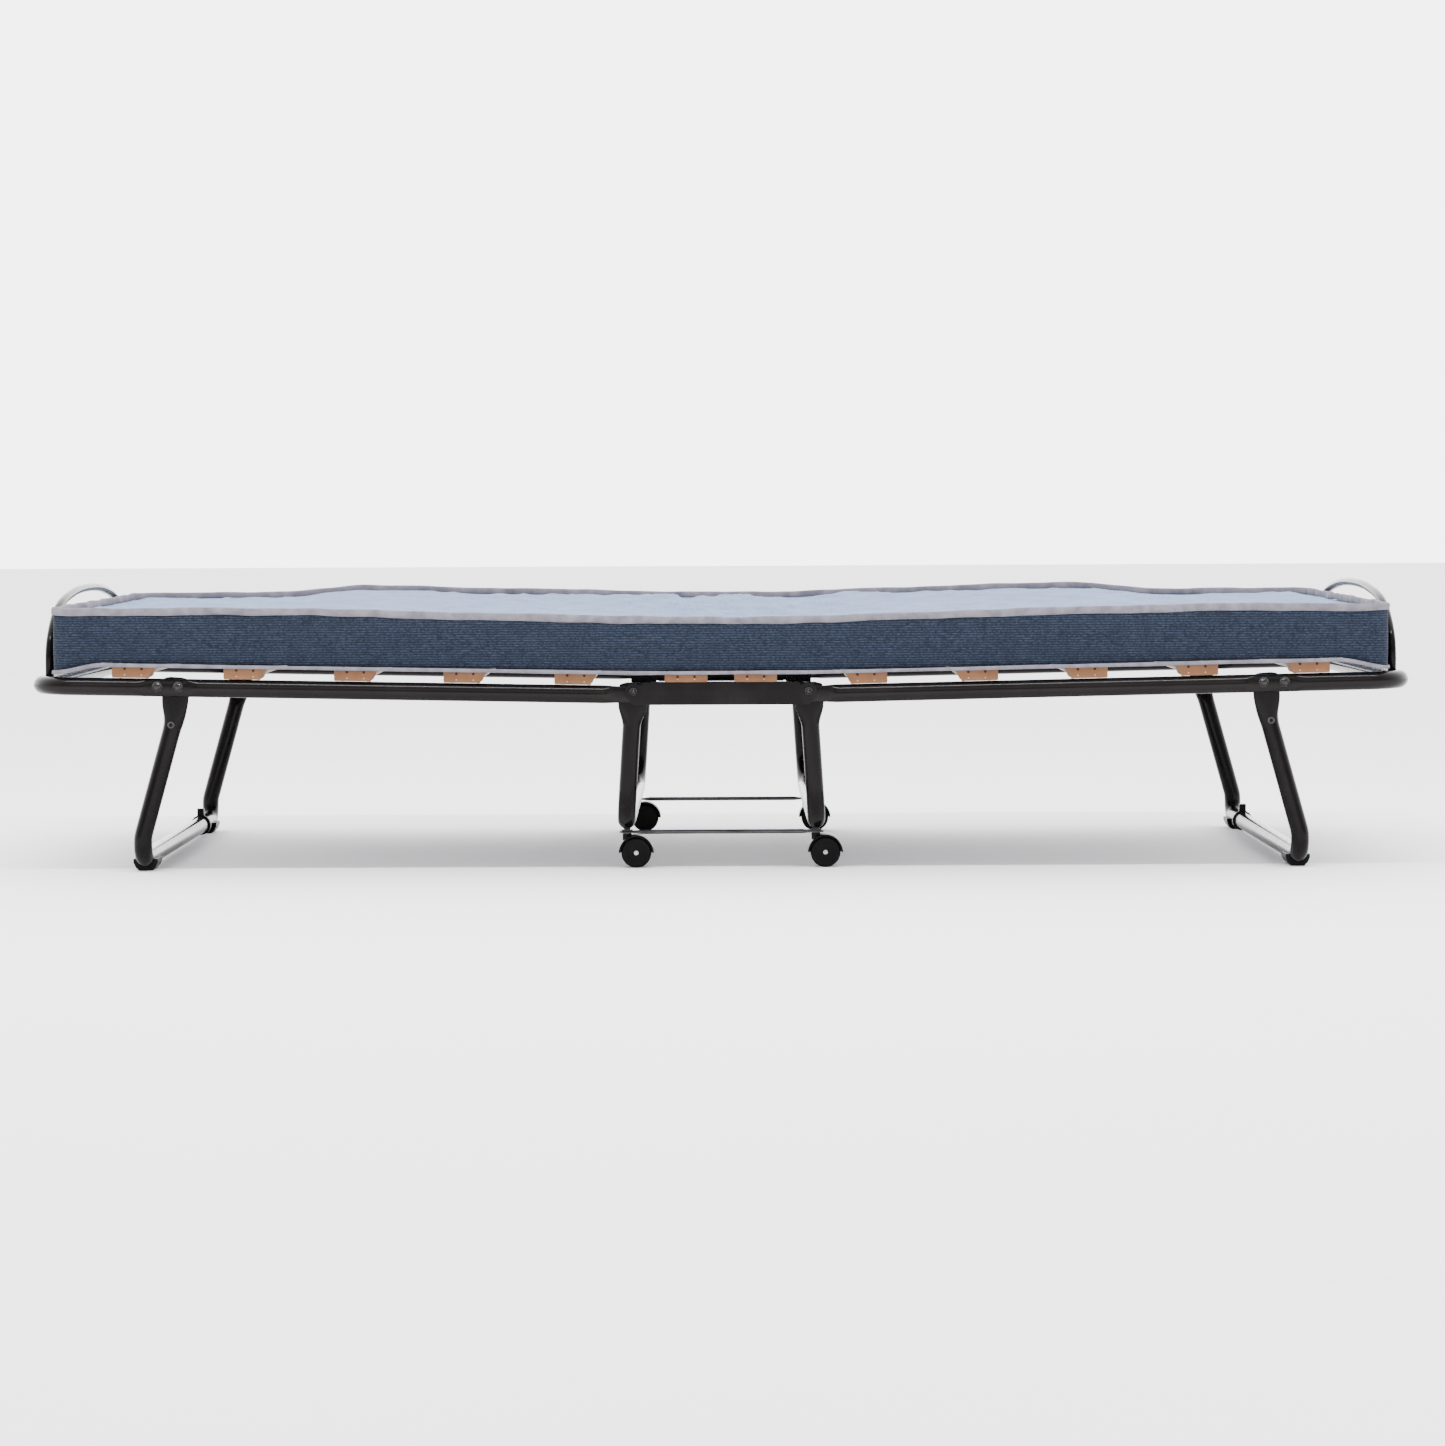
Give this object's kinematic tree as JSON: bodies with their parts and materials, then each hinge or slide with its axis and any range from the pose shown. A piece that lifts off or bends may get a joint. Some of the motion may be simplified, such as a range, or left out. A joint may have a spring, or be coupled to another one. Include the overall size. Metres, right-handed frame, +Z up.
{
  "type": "folding cot",
  "caption": "Folding slatted cot: tubular half frames hinged on a wheeled centre section, folding end legs, end bows and a thin mattress.",
  "frame": {"origin": "middle of the footprint, on the floor", "axes": "+X along the bed, +Y across it to the rear side, +Z up"},
  "size_m": [1.9144, 0.7992, 0.3959],
  "materials": {
    "rail_tube": "gloss black powder coat",
    "leg_tube": "gloss black powder coat",
    "bow_tube": "gloss black powder coat",
    "side_plate": "satin black powder coat",
    "rivet": "black coated steel",
    "tie_rod": "zinc plated",
    "slat_wood": "bent beech, clear lacquer",
    "slat_holder": "tan moulded plastic",
    "mattress_border": "ribbed blue knit, mottled",
    "mattress_top": "fine pale blue knit",
    "mattress_piping": "grey bias binding",
    "black_plastic": "black moulded plastic",
    "caster_hood": "black moulded plastic",
    "caster_wheel": "black moulded plastic"
  },
  "bodies": {
    "centre": {"side_plate_front": "side_plate", "side_plate_rear": "side_plate", "tie_rod_front": "tie_rod", "tie_rod_rear": "tie_rod", "mid_leg_left": "leg_tube", "mid_leg_right": "leg_tube", "slat_06": "slat_wood", "slat_07": "slat_wood", "mattress_centre": "mattress_border", "hinge_pin_left_front": "rivet", "hinge_pin_left_rear": "rivet", "hinge_pin_right_front": "rivet", "hinge_pin_right_rear": "rivet"},
    "left_frame": {"rail_left": "rail_tube", "slat_01": "slat_wood", "slat_02": "slat_wood", "slat_03": "slat_wood", "slat_04": "slat_wood", "slat_05": "slat_wood", "bow_left": "bow_tube", "mattress_left": "mattress_border", "leg_pivot_left_front": "rivet", "leg_pivot_left_rear": "rivet", "leg_stop_left_front": "rivet", "leg_stop_left_rear": "rivet"},
    "left_leg": {"end_leg_left": "leg_tube", "foot_left_front": "black_plastic", "foot_left_rear": "black_plastic", "bar_clip_left": "black_plastic"},
    "right_frame": {"rail_right": "rail_tube", "slat_08": "slat_wood", "slat_09": "slat_wood", "slat_10": "slat_wood", "slat_11": "slat_wood", "slat_12": "slat_wood", "bow_right": "bow_tube", "mattress_right": "mattress_border", "leg_pivot_right_front": "rivet", "leg_pivot_right_rear": "rivet", "leg_stop_right_front": "rivet", "leg_stop_right_rear": "rivet"},
    "right_leg": {"end_leg_right": "leg_tube", "foot_right_front": "black_plastic", "foot_right_rear": "black_plastic", "bar_clip_right": "black_plastic"},
    "caster_left_front": {"caster_hood_left_front": "caster_hood"},
    "wheels_left_front": {"caster_wheels_left_front": "caster_wheel"},
    "caster_left_rear": {"caster_hood_left_rear": "caster_hood"},
    "wheels_left_rear": {"caster_wheels_left_rear": "caster_wheel"},
    "caster_right_front": {"caster_hood_right_front": "caster_hood"},
    "wheels_right_front": {"caster_wheels_right_front": "caster_wheel"},
    "caster_right_rear": {"caster_hood_right_rear": "caster_hood"},
    "wheels_right_rear": {"caster_wheels_right_rear": "caster_wheel"}
  },
  "joints": [
    {"name": "left_fold", "type": "hinge", "parent": "centre", "child": "left_frame", "pos_m": [-0.121, 0, 0.25], "axis": [0, 1, 0], "range_deg": [0, 86]},
    {"name": "right_fold", "type": "hinge", "parent": "centre", "child": "right_frame", "pos_m": [0.121, 0, 0.25], "axis": [0, -1, 0], "range_deg": [0, 86]},
    {"name": "left_leg_fold", "type": "hinge", "parent": "left_frame", "child": "left_leg", "pos_m": [-0.74905, 0, 0.25978], "axis": [0, -1, 0], "range_deg": [0, 95]},
    {"name": "right_leg_fold", "type": "hinge", "parent": "right_frame", "child": "right_leg", "pos_m": [0.74905, 0, 0.25978], "axis": [0, 1, 0], "range_deg": [0, 95]},
    {"name": "swivel_left_front", "type": "hinge", "parent": "centre", "child": "caster_left_front", "pos_m": [-0.1325, -0.315, 0.045], "axis": [0, 0, 1], "continuous": true},
    {"name": "spin_left_front", "type": "hinge", "parent": "caster_left_front", "child": "wheels_left_front", "pos_m": [-0.1195, -0.315, 0.021], "axis": [0, 1, 0], "continuous": true},
    {"name": "swivel_left_rear", "type": "hinge", "parent": "centre", "child": "caster_left_rear", "pos_m": [-0.1325, 0.315, 0.045], "axis": [0, 0, 1], "continuous": true},
    {"name": "spin_left_rear", "type": "hinge", "parent": "caster_left_rear", "child": "wheels_left_rear", "pos_m": [-0.1195, 0.315, 0.021], "axis": [0, 1, 0], "continuous": true},
    {"name": "swivel_right_front", "type": "hinge", "parent": "centre", "child": "caster_right_front", "pos_m": [0.1325, -0.315, 0.045], "axis": [0, 0, 1], "continuous": true},
    {"name": "spin_right_front", "type": "hinge", "parent": "caster_right_front", "child": "wheels_right_front", "pos_m": [0.1455, -0.315, 0.021], "axis": [0, 1, 0], "continuous": true},
    {"name": "swivel_right_rear", "type": "hinge", "parent": "centre", "child": "caster_right_rear", "pos_m": [0.1325, 0.315, 0.045], "axis": [0, 0, 1], "continuous": true},
    {"name": "spin_right_rear", "type": "hinge", "parent": "caster_right_rear", "child": "wheels_right_rear", "pos_m": [0.1455, 0.315, 0.021], "axis": [0, 1, 0], "continuous": true}
  ]
}
